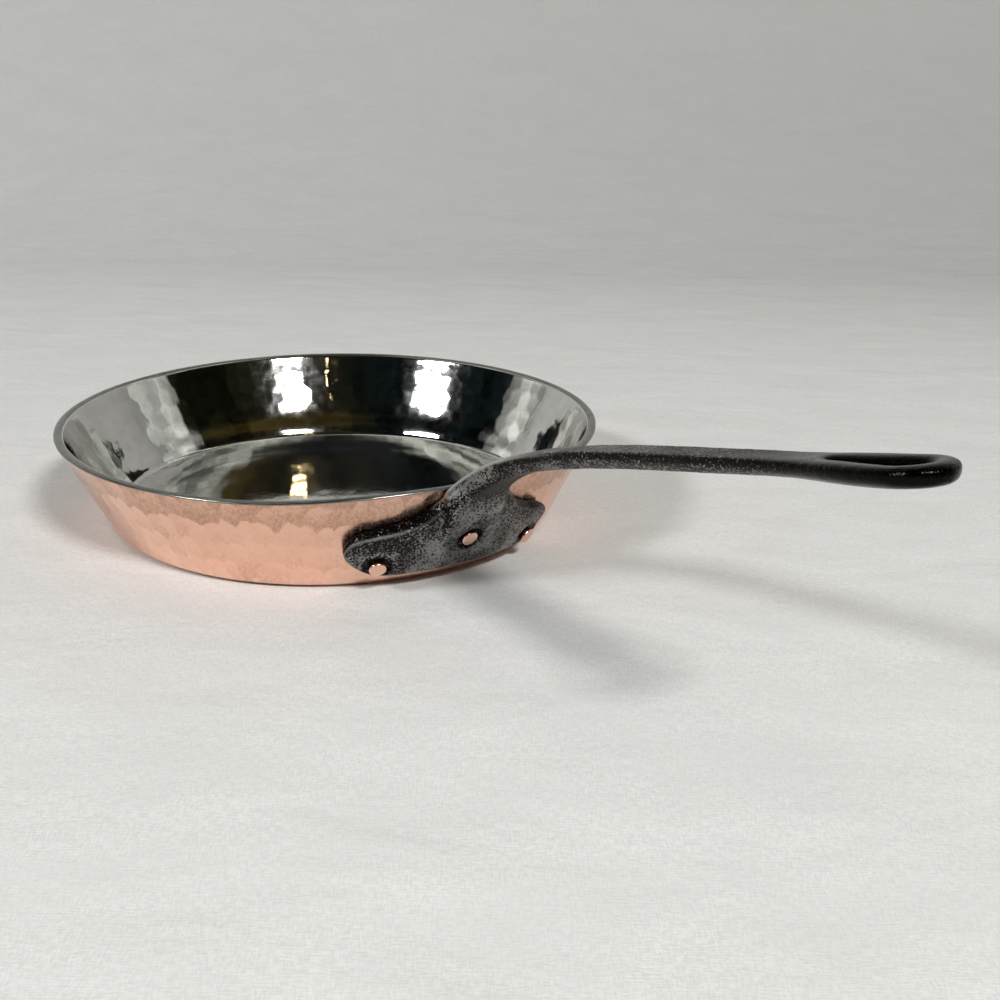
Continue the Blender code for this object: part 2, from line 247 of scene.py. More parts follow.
def copper_material():
    s = Shader("hammered_copper", Metallic=1.0)
    # The tone attribute is random tone plus painted reflection: a darker top row and blows lighter towards
    # their tops.
    tone_and_reflection = s.attribute("tone_and_reflection")
    patches = s.noise(7 * MM, 4.0, 0.6)
    bright = s.mix(s.ramp(patches, 0.35, 0.7), (0.97, 0.630, 0.490), (0.93, 0.575, 0.430))
    reflection_toned = s.mix(s.ramp(tone_and_reflection, 0.0, 1.0), (0.70, 0.440, 0.320), bright)
    hatched = s.noise(1.3 * MM, 3.0, 0.65, 0.8, s.stretched(1, 1, 0.5))
    hatching = s.ramp(hatched, 0.38, 0.58, 1.0, 0.0)
    marked = s.math("MULTIPLY", hatching, s.ramp(tone_and_reflection, 0.3, 0.9, 0.52, 0.08))
    struck = s.mix(marked, reflection_toned, (0.42, 0.235, 0.155))
    # Painted highlight: a paler copper line along the ridges between blows.
    ridge_lit = s.mix(s.math("MULTIPLY", s.attribute("ridge_highlight"), 0.45), struck, (0.98, 0.72, 0.58))
    tin_edge = s.ramp(
        s.math("ADD", s.attribute("below_rim"), s.math("MULTIPLY", s.noise(3 * MM, 2.0), 0.0006)),
        0.00045, 0.00062, 1.0, 0.0,
    )
    s.to("Base Color", s.mix(tin_edge, ridge_lit, (0.62, 0.60, 0.56)))
    grain = s.noise(1.6 * MM, 3.0, 0.55, 0.4)
    worked = s.ramp(grain, 0.3, 0.75, 0.15, 0.25)
    s.to("Roughness", s.math("ADD", worked, s.math("MULTIPLY", s.attribute("tucked"), 0.05)))
    calm = s.math("SUBTRACT", 1.0, s.math("MULTIPLY", s.attribute("tucked"), 0.8))
    peel = s.bump(s.math("MULTIPLY", s.soft_cells(1.7 * MM), calm), 0.05 * MM)
    scratches = s.noise(0.9 * MM, 3.0, 0.65, 0.3, vector=s.stretched(1, 1, 0.35))
    s.to("Normal", s.bump(s.math("MULTIPLY", scratches, calm), 0.035 * MM, onto=peel))
    return s.material


def tin_material():
    s = Shader("wiped_tin", Metallic=1.0)
    wiped = s.noise(6 * MM, 4.0, 0.6)
    clouds = s.noise(30 * MM, 3.0)
    pale = s.mix(s.ramp(wiped, 0.35, 0.7), (0.72, 0.715, 0.69), (0.64, 0.635, 0.61))
    inside = s.mix(s.ramp(clouds, 0.5, 0.75, 0.0, 0.5), pale, (0.58, 0.575, 0.54))
    lip = s.attribute("lip")
    lip_tone = s.mix(s.noise(4 * MM, 4.0, 0.7), (0.09, 0.09, 0.086), (0.40, 0.395, 0.375))
    s.to("Base Color", s.mix(lip, inside, lip_tone))
    smooth = s.ramp(wiped, 0.3, 0.75, 0.045, 0.085)
    s.to("Roughness", s.math("ADD", smooth, s.math("MULTIPLY", lip, 0.16)))
    ripple = s.bump(s.noise(5.0 * MM, 2.0, 0.5), 0.028 * MM)
    s.to("Normal", s.bump(s.noise(1.8 * MM, 3.0), 0.010 * MM, onto=ripple))
    return s.material


def iron_material():
    """Cast iron ground by hand: bright where the wheel touched, dark in every pit it missed; rubbed edges
    carry painted highlight and the belly by the neck painted shade.
    """
    s = Shader("ground_cast_iron", Metallic=1.0)
    ground = s.attribute("ground")
    gloss = s.attribute("gloss")
    worn_and_highlight = s.attribute("worn_and_highlight")
    speck = s.noise(1.0 * MM, 2.0, 0.6)
    broad = s.noise(12 * MM, 3.0, 0.55)
    level = s.math("MULTIPLY", ground, s.ramp(broad, 0.30, 0.62, 0.55, 1.0))
    over = s.math("ADD", speck, s.math("MULTIPLY", level, 0.24))
    bright = s.ramp(over, 0.60, 0.70)
    sooty = s.mix(s.noise(4.5 * MM, 3.0, 0.6), (0.006, 0.005, 0.0045), (0.024, 0.018, 0.015))
    raw = s.mix(s.attribute("black"), sooty, (0.003, 0.0026, 0.0025))
    face = s.mix(s.ramp(broad, 0.35, 0.65), (0.16, 0.16, 0.158), (0.31, 0.307, 0.30))
    polished = s.mix(gloss, s.mix(bright, raw, face), (0.008, 0.0072, 0.007))
    # Rubbed edges get a pale metal colour, which is partly painted highlight.
    s.to("Base Color", s.mix(worn_and_highlight, polished, (0.62, 0.60, 0.58)))
    matt = s.ramp(bright, 0.0, 1.0, 0.46, 0.32)
    s.to("Roughness", s.math("ADD", matt, s.math("MULTIPLY", gloss, -0.28)))
    skin = s.math("MULTIPLY", speck, s.ramp(ground, 0.0, 1.0, 1.0, 0.4))
    cast = s.bump(skin, 0.20 * MM)
    stroke = s.math("MULTIPLY", bright, s.ramp(gloss, 0.0, 1.0, 1.0, 0.0))
    s.to("Normal", s.bump(stroke, 0.06 * MM, onto=cast))
    return s.material


def cloth_material():
    s = Shader("pale_cloth", Roughness=0.95)
    weave_x = s.noise(0.8 * MM, 2.0, vector=s.stretched(1.0, 0.22, 1.0))
    weave_y = s.noise(0.8 * MM, 2.0, vector=s.stretched(0.22, 1.0, 1.0))
    weave = s.math("MULTIPLY", s.math("ADD", weave_x, weave_y), 0.5)
    soft = s.noise(40 * MM, 5.0, 0.6, 0.0, s.stretched(0.7, 1.0, 1.0))
    tint = s.mix(s.ramp(soft, 0.3, 0.7), (0.80, 0.80, 0.79), (0.74, 0.74, 0.73))
    cloth = s.mix(s.ramp(weave, 0.38, 0.62), (0.69, 0.69, 0.68), tint)
    # The part that hangs behind catches less of the light.
    split = s.tree.nodes.new("ShaderNodeSeparateXYZ")
    s.put(split.inputs[0], s.coordinates)
    across = s.math("MULTIPLY", split.outputs["X"], 0.35)
    hanging = s.ramp(s.math("ADD", split.outputs["Y"], across), 0.30, 1.50, 0.0, 0.62)
    s.to("Base Color", s.mix(hanging, cloth, (0.40, 0.40, 0.385)))
    creases = s.bump(s.noise(60 * MM, 4.0, 0.5, 0.3, s.stretched(0.6, 1.1, 1.0)), 3.5 * MM)
    s.to("Normal", s.bump(weave, 0.35 * MM, onto=creases))
    return s.material


# ---------------------------------------------------------------- pan


def rim_lift(angle):
    return RIM_LIFT * (1 - smoothstep(np.abs(angle), LIFT_FULL_ANGLE, LIFT_END_ANGLE))


def pan_section(inset, floor_step, corner_steps, wall_step):
    """Points and outward normals up the pan's section, and the slant distance up the wall.

    The slant distance is -1 on the floor and 0 round the corner.
    """
    flat_end = FOOT_RADIUS - CORNER_RADIUS * tan((pi / 2 - FLARE) / 2)
    radius = CORNER_RADIUS - inset
    points, normals, slant = [], [], []
    rings = round(flat_end / floor_step)
    for ring in range(1, rings):
        points.append((flat_end * ring / rings, inset))
        normals.append((0.0, -1.0))
        slant.append(-1.0)
    for step in range(corner_steps + 1):
        angle = -pi / 2 + (pi / 2 - FLARE) * step / corner_steps
        points.append((flat_end + radius * cos(angle), CORNER_RADIUS + radius * sin(angle)))
        normals.append((cos(angle), sin(angle)))
        slant.append(0.0)
    start_r, start_z = points[-1]
    top_r = FOOT_RADIUS + RIM_HEIGHT * tan(FLARE) - inset / cos(FLARE)
    length = (RIM_HEIGHT - start_z) / cos(FLARE)
    rows = round(length / wall_step)
    for row in range(1, rows + 1):
        t = row / rows
        points.append((start_r + (top_r - start_r) * t, start_z + (RIM_HEIGHT - start_z) * t))
        normals.append((cos(FLARE), -sin(FLARE)))
        slant.append(t * length)
    return np.array(points), np.array(normals), np.array(slant)


def hammer_marks(angles, radii, slant, width, rise, bowl, tail, softness, tilt, seed):
    """Overlapping hammer blows on the wall: height (about 0 on the ridges, else negative) and tone, which
    varies at random and carries painted reflection.

    Blows are about `width` across and `rise` up the wall, with bowls of the given radius.
    A tail under 1 makes each blow flatter downwards, so that its top edge shows as an arch.
    """
    random = np.random.default_rng(seed)
    length = slant[-1]
    total = np.full((len(slant), len(angles)), 1e-30)
    reflection_toned = np.zeros_like(total)
    row_count = round(length / rise)
    for row in range(-1, row_count + 1):
        centre_s = (row + 0.5) * length / row_count
        row_radius = np.interp(centre_s, slant, radii)
        count = round(2 * pi * row_radius / width)
        phase = random.uniform(0, 2 * pi)
        # Painted reflection: the top row is darker, and each blow is painted lighter towards its top edge.
        top_row = row >= row_count - 1
        row_tone_and_reflection = 0.45 if top_row else random.uniform(0.76, 0.92)
        shading = 0.50 if top_row else 0.24
        for blow in range(count):
            angle = phase + 2 * pi * (blow + random.uniform(-0.25, 0.25)) / count
            s = centre_s + random.normal(0, 0.09 * rise)
            depth = random.uniform(0, 0.35) * width * width / (8 * bowl)
            lean_u, lean_s = random.normal(0, tilt, 2)
            tone_and_reflection = row_tone_and_reflection + random.normal(0, 0.09)
            du = (angles - angle + pi) % (2 * pi) - pi
            near = np.abs(du) * row_radius < 1.6 * width
            rows = np.abs(slant - s) < 1.6 * rise
            if not rows.any():
                continue
            u = du[near][None, :] * radii[rows][:, None]
            v = (slant[rows] - s)[:, None] * width / rise
            firm = tail + (1 - tail) * smoothstep(v / width, -0.5, 0.3)
            height = firm * (u * u + v * v) / (2 * bowl) - depth + lean_u * u + lean_s * v
            share = np.exp(-height / softness)
            total[np.ix_(rows, near)] += share
            reflection_toned[np.ix_(rows, near)] += share * (tone_and_reflection + shading * v / width)
    field = -softness * np.log(total)
    return field - np.quantile(field, 0.995), np.clip(reflection_toned / total, 0, 1)


def rivet_axis(angle, height):
    outward = Vector((cos(FLARE) * cos(angle), cos(FLARE) * sin(angle), -sin(FLARE)))
    radius = FOOT_RADIUS + height * tan(FLARE)
    return Vector((radius * cos(angle), radius * sin(angle), height)), outward


def turned_grid(name, rings, poles):
    """Surface through rings of points, closed at both ends by a fan to a pole."""
    count = len(rings[0])
    verts = [poles[0], *(p for ring in rings for p in ring), poles[1]]
    last = len(verts) - 1
    faces = [(0, 1 + (i + 1) % count, 1 + i) for i in range(count)]
    for row in range(len(rings) - 1):
        base = 1 + row * count
        for i in range(count):
            j = (i + 1) % count
            faces.append((base + i, base + j, base + count + j, base + count + i))
    base = 1 + (len(rings) - 1) * count
    faces += [(last, base + i, base + (i + 1) % count) for i in range(count)]
    obj = new_object(name, verts, faces)
    bm = bmesh.new()
    bm.from_mesh(obj.data)
    bmesh.ops.recalc_face_normals(bm, faces=bm.faces)
    if bm.calc_volume(signed=True) < 0:
        bmesh.ops.reverse_faces(bm, faces=bm.faces)
    bm.to_mesh(obj.data)
    bm.free()
    return obj


def ring_points(angles, radius, height, lift_share):
    """One ring of the pan, drawn up the wall's slope beside the handle."""
    lift = rim_lift(angles) * lift_share
    reach = radius + lift * tan(FLARE)
    return np.stack([reach * np.cos(angles), reach * np.sin(angles), height + lift], axis=1)


def closeness(points, node, near, far):
    """1 within `near` of a CAD node, falling to 0 at `far`."""
    depsgraph = bpy.context.evaluated_depsgraph_get()
    tree = BVHTree.FromObject(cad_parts[node], depsgraph)
    gaps = [tree.find_nearest(p, far)[3] for p in points]
    return 1 - smoothstep(np.array([far if gap is None else gap for gap in gaps]), near, far)


def build_copper_body(material):
    angles = np.linspace(-pi, pi, 900, endpoint=False)
    points, normals, slant = pan_section(0.0, 6 * MM, 8, 0.9 * MM)
    keep = points[:, 1] <= COPPER_TOP
    points, normals, slant = points[keep], normals[keep], slant[keep]
    length = slant[-1]
    wall = slant >= 0
    marks = np.zeros((len(slant), len(angles)))
    tone_and_reflection = np.full_like(marks, 0.5)
    marks[wall], tone_and_reflection[wall] = hammer_marks(angles, points[wall, 0], slant[wall], **COPPER_BLOWS)
    # The blows are fainter just under the filed rim and end at the corner.
    fade = smoothstep(slant, 0.0, 3 * MM) * (1 - 0.6 * smoothstep(slant, length - 2 * MM, length))
    marks = np.minimum(marks * fade[:, None], 0.0)
    dishing = BASE_DISHING * (1 - smoothstep(points[:, 0], 60 * MM, 104 * MM))
    rings, below_rim, tones_and_reflection = [], [], []
    for i, ((radius, height), (nr, nz)) in enumerate(zip(points, normals)):
        depth = marks[i]
        share = (height / RIM_HEIGHT) ** 2
        raised = dishing[i] if slant[i] < 0 else 0.0
        rings.append(ring_points(angles, radius + nr * depth, height + nz * depth + raised, share))
        below_rim += [COPPER_TOP - height] * len(angles)
        tones_and_reflection += list(tone_and_reflection[i])
    inner, _, _ = pan_section(COPPER_THICKNESS, 12 * MM, 4, 8 * MM)
    for radius, height in inner[::-1]:
        height = min(height, COPPER_TOP)
        rings.append(ring_points(angles, radius, height, (height / RIM_HEIGHT) ** 2))
        below_rim += [1.0] * len(angles)
        tones_and_reflection += [0.5] * len(angles)
    obj = turned_grid("hammered_copper_pan", rings, [(0, 0, BASE_DISHING), (0, 0, COPPER_THICKNESS)])
    set_attribute(obj, "below_rim", [1.0, *below_rim, 1.0])
    set_attribute(obj, "tone_and_reflection", [0.5, *tones_and_reflection, 0.5])
    # Where the ridges between blows stand, for the painted highlight in the material.
    crest_highlight = np.clip(1 + marks / (0.02 * MM), 0, 1) * fade[:, None] * wall[:, None]
    rest = np.zeros(len(obj.data.vertices) - 1 - crest_highlight.size)
    set_attribute(obj, "ridge_highlight", np.concatenate([[0.0], crest_highlight.ravel(), rest]))
    places = [v.co for v in obj.data.vertices]
    set_attribute(obj, "tucked", closeness(places, "handle", 2 * MM, 10 * MM))
    finish_piece(obj, "copper_body", material)


def raise_over_rivets(ring):
    """Swell a ring of the lining inward where it covers the rivets' heads."""
    for _, angle, height in RIVETS:
        centre, outward = rivet_axis(angle, height)
        away = distance_from_line(ring, centre, outward)
        reach = np.clip(away / BLISTER_RADIUS, 0, 1)
        swell = BLISTER_HEIGHT * (1 - smoothstep(reach, 0.30, 1.0)) * (1 - 0.15 * reach**2)
        ring = ring - swell[:, None] * np.array(outward)
    return ring


def lip_rings(angles, lip_inner):
    """The crowned lip of tin over the rim, a little uneven all the way round."""
    middle = (lip_inner + RIM_RADIUS) / 2
    half = (RIM_RADIUS - lip_inner) / 2
    section = [
        (middle + half * k, RIM_HEIGHT - LIP_CROWN * abs(k) ** 2.4)
        for k in (-0.97, -0.9, -0.75, -0.5, -0.25, 0.0, 0.25, 0.5, 0.75, 0.88)
    ]
    section += [(RIM_RADIUS - inset, LIP_UNDERSIDE) for inset in (0.175 * MM, 1.0 * MM)]
    circle = 140 * MM
    nicks = fractal([(cos(a) * circle, sin(a) * circle, 0.0) for a in angles], 5 * MM, 3)
    sway = fractal([(cos(a) * circle, sin(a) * circle, 0.3) for a in angles], 16 * MM, 2)
    rings = []
    for radius, height in section:
        ring = ring_points(angles, radius, height, 1.0)
        ring[:, 2] += 0.10 * MM * np.minimum(nicks, 0.0)
        ring[:, :2] *= 1 + 0.0016 * np.minimum(sway - 0.2, 0.0)[:, None]
        rings.append(ring)
    return rings


def build_tin_lining(material):
    """Mirror-bright inside with soft hammer marks, a lip over the rim and three covered rivets."""
    coarse = np.linspace(-pi, pi, 720, endpoint=False)
    fine = np.linspace(-radians(25), radians(25), 150)
    angles = np.sort(np.concatenate([coarse[np.abs(coarse) > radians(25.1)], fine]))
    points, normals, slant = pan_section(WALL_THICKNESS, 2.8 * MM, 8, 1.0 * MM)
    length = slant[-1]
    wall = slant >= 0
    marks = np.zeros((len(slant), len(angles)))
    marks[wall], _ = hammer_marks(angles, points[wall, 0], slant[wall], **TIN_BLOWS)
    fade = smoothstep(slant, -0.5, 2 * MM) * (1 - smoothstep(slant, length - 3 * MM, length))
    marks = marks * fade[:, None]
    steps = np.linalg.norm(np.diff(points, axis=0), axis=1)
    run = np.concatenate([[0], np.cumsum(steps)])
    corner_at = run[np.nonzero(slant > 0)[0][0]]
    # Tin puddles in the corner, which makes the turn from floor to wall gentler.
    puddle = PUDDLE_DEPTH * np.exp(-(((run - corner_at + 1.0 * MM) / PUDDLE_WIDTH) ** 2))
    # The wall is a little thicker again towards the lip.
    thicken = TOP_THICKENING * (np.maximum(slant - 0.55 * length, 0.0) / (0.45 * length)) ** 2
    puddle = puddle + thicken
    rings = []
    for i, ((radius, height), (nr, nz)) in enumerate(zip(points, normals)):
        # A blow's height is negative, so it swells the lining in towards the middle of the pan.
        depth = marks[i] * TIN_BLOW_SHARE
        if slant[i] <= 0:
            place = np.stack([radius * np.cos(angles), radius * np.sin(angles)], axis=1)
            wave = fractal([(x, y, 0.0) for x, y in place], 30 * MM, 3)
            turned = TURNING_DEPTH * sin(2 * pi * radius / TURNING_PITCH)
            depth = depth - turned - 0.06 * MM * wave
        depth = depth - puddle[i]
        ring = ring_points(angles, radius + nr * depth, height + nz * depth, (height / RIM_HEIGHT) ** 2)
        rings.append(raise_over_rivets(ring) if slant[i] > 0 else ring)
    rings[-1][:, 2] -= LIP_CROWN
    lip_start = len(rings)
    rings += lip_rings(angles, points[-1][0] - puddle[-1] / cos(FLARE))
    lip_end = len(rings)
    under, _, _ = pan_section(LINING_OFFSET, 12 * MM, 4, 8 * MM)
    for radius, height in under[::-1]:
        height = min(height, LIP_UNDERSIDE)
        rings.append(ring_points(angles, radius, height, (height / RIM_HEIGHT) ** 2))
    poles = [(0, 0, WALL_THICKNESS), (0, 0, LINING_OFFSET)]
    obj = turned_grid("tinned_inside", rings, poles)
    on_lip = np.zeros(len(obj.data.vertices))
    on_lip[1 + lip_start * len(angles) : 1 + lip_end * len(angles)] = 1.0
    set_attribute(obj, "lip", on_lip)
    finish_piece(obj, "tin_lining", material)


# ---------------------------------------------------------------- handle


def neighbour_mean(values, edges, degree):
    """Mean of each vertex's neighbours, for values of any number of columns."""
    columns = values.reshape(len(degree), -1)
    total = np.empty_like(columns)
    for k in range(columns.shape[1]):
        column = columns[:, k]
        total[:, k] = np.bincount(edges[:, 0], column[edges[:, 1]], len(degree))
        total[:, k] += np.bincount(edges[:, 1], column[edges[:, 0]], len(degree))
    return (total / np.maximum(degree, 1)[:, None]).reshape(values.shape)


def relax(values, edges, degree, rounds):
    for _ in range(rounds):
        values = 0.5 * values + 0.5 * neighbour_mean(values, edges, degree)
    return values


def distance_from_line(places, centre, axis):
    offset = places - np.array(centre)
    along = offset @ np.array(axis)
    return np.linalg.norm(offset - along[:, None] * np.array(axis), axis=1)


def even_handle_mesh():
    """The CAD casting as a mesh of small, even faces."""
    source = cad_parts["handle"]
    work = bpy.data.objects.new("handle_blank", source.data.copy())
    bpy.context.scene.collection.objects.link(work)
    remesh = work.modifiers.new("remesh", "REMESH")
    remesh.mode = "VOXEL"
    remesh.voxel_size = VOXEL
    depsgraph = bpy.context.evaluated_depsgraph_get()
    mesh = bpy.data.meshes.new_from_object(work.evaluated_get(depsgraph))
    bpy.data.objects.remove(work)
    mesh.name = "cast_handle"
    mesh.shade_smooth()
    return mesh


def handle_wear(places, normals, shrunk, away):
    """How far each vertex is ground, glossy, rubbed bright with a painted highlight, or left black, each
    from 0 to 1.

    `shrunk` is how much softening rounded the place off, and `away` its distance from a rivet's axis.
    """
    x, y = places[:, 0], places[:, 1]
    reach = np.hypot(x, y)
    outward = (normals[:, 0] * x + normals[:, 1] * y) / reach * cos(FLARE) - normals[:, 2] * sin(FLARE)
    on_plate = 1 - smoothstep(x, 144 * MM, 158 * MM)
    front = smoothstep(outward, 0.74, 0.95)
    middle = 0.60 * smoothstep(y, -34 * MM, -12 * MM) * (1 - 0.8 * smoothstep(y, 12 * MM, 30 * MM))
    front *= np.minimum(0.32 + middle + 0.50 * (1 - smoothstep(places[:, 2], 14 * MM, 30 * MM)), 1)
    upward = 0.8 * smoothstep(normals[:, 2], 0.60, 0.92)
    # Near the neck the belly is left unground and dark: painted shade and the plate's dark reflection.
    beneath = 0.75 * smoothstep(-normals[:, 2], 0.15, 0.60) * smoothstep(x, 160 * MM, 190 * MM)
    flank = (1 - smoothstep(x, 152 * MM, 182 * MM)) * smoothstep(np.abs(normals[:, 1]), 0.5, 0.9)
    flank *= smoothstep(places[:, 2], 40 * MM, 52 * MM)
    ground = on_plate * front + (1 - on_plate) * np.maximum(upward, beneath)
    ground = np.maximum(ground, flank)
    black = on_plate * (1 - smoothstep(places[:, 2], 42 * MM, 54 * MM)) * (1 - smoothstep(outward, 0.3, 0.8))
    black = np.maximum(black, 1 - smoothstep(away, RECESS_RADIUS, 7.6 * MM))
    ground *= smoothstep(away, RECESS_RADIUS, 8.2 * MM)
    ground *= 1 - 0.55 * smoothstep(x, 170 * MM, 330 * MM)
    gloss = smoothstep(x, 290 * MM, 345 * MM)
    # The neck's top edges are rubbed bright, with a painted highlight along them.
    neck = smoothstep(x, 128 * MM, 140 * MM) * (1 - smoothstep(x, 165 * MM, 215 * MM))
    worn_and_highlight = smoothstep(shrunk, 0.03 * MM, 0.10 * MM) * neck * smoothstep(normals[:, 2], 0.0, 0.3)
    worn_and_highlight *= smoothstep(places[:, 2], 42 * MM, 50 * MM)
    # The edge round the plate's face is rubbed too, but less, and mostly at its left end; there too the
    # bright edge is partly painted highlight.
    edge = smoothstep(shrunk, 0.06 * MM, 0.14 * MM) * smoothstep(outward, 0.50, 0.70)
    edge *= (1 - smoothstep(outward, 0.84, 0.94)) * (1 - 0.7 * smoothstep(y, -44 * MM, -26 * MM))
    worn_and_highlight = np.maximum(worn_and_highlight, 0.40 * edge * on_plate)
    return {"ground": ground, "gloss": gloss, "worn_and_highlight": worn_and_highlight, "black": black}


def build_handle(material):
    """The casting: the CAD shape with softened edges and a cast skin."""
    mesh = even_handle_mesh()
    obj = bpy.data.objects.new("cast_handle", mesh)
    bpy.context.scene.collection.objects.link(obj)

    count = len(mesh.vertices)
    places = np.zeros(count * 3)
    mesh.vertices.foreach_get("co", places)
    places = places.reshape(-1, 3)
    edges = np.zeros(len(mesh.edges) * 2, np.int32)
    mesh.edges.foreach_get("vertices", edges)
    edges = edges.reshape(-1, 2)

    # Edges are most rounded on the hanging loop, then on the plate's right end, and crispest
    # round the rivets.
    away = np.full(count, 1.0)
    for _, angle, height in RIVETS:
        centre, axis = rivet_axis(angle, height)
        away = np.minimum(away, distance_from_line(places, centre, axis))
    rounds = 12 + 30 * smoothstep(places[:, 1], 42 * MM, 50 * MM)
    rounds = rounds + 60 * smoothstep(places[:, 0], 300 * MM, 345 * MM)
    rounds = np.where(away < 7.2 * MM, 5, rounds)
    degree = np.bincount(edges.ravel(), minlength=count)
    sharp = places.copy()
    for step in range(round(rounds.max())):
        pull = neighbour_mean(places, edges, degree) - places
        places = places + 0.5 * pull * np.clip(rounds - step, 0, 1)[:, None]
    mesh.vertices.foreach_set("co", places.ravel())
    mesh.update()
    normals = np.zeros(count * 3, np.float32)
    mesh.vertices.foreach_get("normal", normals)
    normals = normals.reshape(-1, 3).astype(float)
    shrunk = ((sharp - places) * normals).sum(axis=1)

    wear = handle_wear(places, normals, shrunk, away)
    for name, spread in (("ground", 4), ("black", 3), ("gloss", 6), ("worn_and_highlight", 1)):
        wear[name] = relax(wear[name], edges, degree, spread)

    # A cast skin: coarse lumps where it was left as cast, nearly none where it was ground.
    skin = fractal(places, 2.6 * MM, 3, 3.1)
    lumps = fractal(places, 9.0 * MM, 2, 7.7)
    push = (SKIN_DEPTH * skin) * (1 - 0.7 * wear["ground"]) * (1 - 0.8 * wear["gloss"]) + LUMP_DEPTH * lumps
    push -= 0.06 * MM
    push += LOOP_SWELLING * smoothstep(places[:, 0], 315 * MM, 350 * MM)
    places = places + normals * push[:, None]
    mesh.vertices.foreach_set("co", places.ravel())
    mesh.update()
    for name, values in wear.items():
        set_attribute(obj, name, values)
    finish_piece(obj, "handle", material)


# ---------------------------------------------------------------- rivets


def build_rivet(name, angle, height, material, seed):
    """Hand-peened rivet: a low uneven head outside, the shank, and the head under the tin."""
    random = np.random.default_rng(seed)
    centre, outward = rivet_axis(angle, height)
    turn = outward.to_track_quat("Z", "X").to_matrix().to_4x4()
    place = Matrix.Translation(centre) @ turn
    reach = [(place.inverted() @ v.co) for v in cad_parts[name].data.vertices]
    top = max(v.z for v in reach)
    bottom = min(v.z for v in reach)
    head = max(Vector(v.xy).length for v in reach if v.z > 0)
    inner = max(Vector(v.xy).length for v in reach if v.z < 0)
    seat = top - OUTER_HEAD_HEIGHT
    inner_seat = bottom + INNER_HEAD_HEIGHT
    section = [(0.25 * head * k, top - 0.35 * MM * (0.25 * k) ** 2.6) for k in (1, 2, 3)]
    for k in range(7):
        a = pi / 2 * k / 6
        section.append((head - 0.75 * MM * (1 - sin(a)), top - 0.42 * MM - 0.9 * MM * (1 - cos(a))))
    section += [(head, seat + 0.4 * MM), (head - 0.25 * MM, seat)]
    section += [(RIVET_RADIUS, seat), (RIVET_RADIUS, -LINING_OFFSET)]
    section += [(inner, inner_seat)]
    section += [(inner * cos(a), inner_seat - INNER_HEAD_HEIGHT * sin(a)) for a in (0.4, 0.8, 1.2)]
    count = 64
    turns = np.linspace(0, 2 * pi, count, endpoint=False)
    wobble = sum(
        random.normal(0, 0.10) / k * np.cos(k * turns + random.uniform(0, 2 * pi)) for k in (2, 3, 5)
    )
    faceting = [(random.uniform(0, 2 * pi), random.uniform(0.3, 0.75)) for _ in range(5)]
    rings = []
    for radius, level in section:
        uneven = radius * (1 + 0.22 * wobble * (level > seat) * (radius / head) ** 2)
        ring = np.stack([uneven * np.cos(turns), uneven * np.sin(turns), np.full(count, level)], axis=1)
        if level > seat:
            for direction, slope in faceting:
                # Each hammer blow flattens one side of the head.
                side = ring[:, 0] * cos(direction) + ring[:, 1] * sin(direction)
                limit = top - 0.05 * MM - 0.30 * slope * np.maximum(side - 0.1 * head, 0.0)
                ring[:, 2] = np.minimum(ring[:, 2], limit)
        rings.append(ring)
    poles = [(0, 0, top - 0.05 * MM), (0, 0, bottom)]
    obj = turned_grid(f"peened_{name}", rings, poles)
    obj.data.transform(place)
    obj.data.update()
    for attribute, value in (("below_rim", 1.0), ("tone_and_reflection", 0.8), ("tucked", 0.0), ("ridge_highlight", 0.0)):
        set_attribute(obj, attribute, np.full(len(obj.data.vertices), value))
    finish_piece(obj, name, material)


# ---------------------------------------------------------------- studio


CAMERA_PLACE = (0.5863, -0.2943, 0.2374)
CAMERA_HEADING = radians(55.46)
CAMERA_PITCH = radians(19.84)
CAMERA_ROLL = radians(0.88)
CAMERA_LENS = 45.9
LAMP_DISTANCE = 3.2

# Lamps: name, degrees round from the camera and up, width, height, watts, colour
LAMPS = [
    ("lamp_right", 31, 41.6, 0.76, 0.30, 65, (1.0, 0.99, 0.975)),
    ("lamp_left", -53, 36.2, 0.90, 0.36, 46, (0.98, 0.99, 1.0)),
    ("warm_lamp", 9, 39, 0.10, 0.05, 0.30, (1.0, 0.72, 0.36)),
    ("warm_ceiling", 38, 70.5, 0.30, 0.10, 1.3, (1.0, 0.74, 0.38)),
]


def build_camera():
    data = bpy.data.cameras.new("camera")
    data.sensor_width = 36.0
    data.lens = CAMERA_LENS
    data.clip_start = 0.01
    camera = bpy.data.objects.new("camera", data)
    turn = Matrix.Rotation(CAMERA_HEADING, 4, "Z") @ Matrix.Rotation(pi / 2 - CAMERA_PITCH, 4, "X")
    camera.matrix_world = (
        Matrix.Translation(CAMERA_PLACE) @ turn @ Matrix.Rotation(CAMERA_ROLL, 4, "Z")
    )
    bpy.context.scene.collection.objects.link(camera)
    bpy.context.scene.camera = camera


def toward(azimuth, elevation):
    """Direction at an angle round from the camera's side, positive to its right, and up."""
    heading = CAMERA_HEADING + radians(azimuth)
    rise = radians(elevation)
    return Vector((sin(heading) * cos(rise), -cos(heading) * cos(rise), sin(rise)))


def add_lamp(name, azimuth, elevation, width, height, watts, colour):
    data = bpy.data.lights.new(name, "AREA")
    data.shape = "ELLIPSE"
    data.size = width
    data.size_y = height
    data.energy = watts
    data.color = colour
    lamp = bpy.data.objects.new(name, data)
    direction = toward(azimuth, elevation)
    lamp.location = direction * LAMP_DISTANCE
    lamp.rotation_mode = "QUATERNION"
    lamp.rotation_quaternion = direction.to_track_quat("Z", "Y")
    bpy.context.scene.collection.objects.link(lamp)


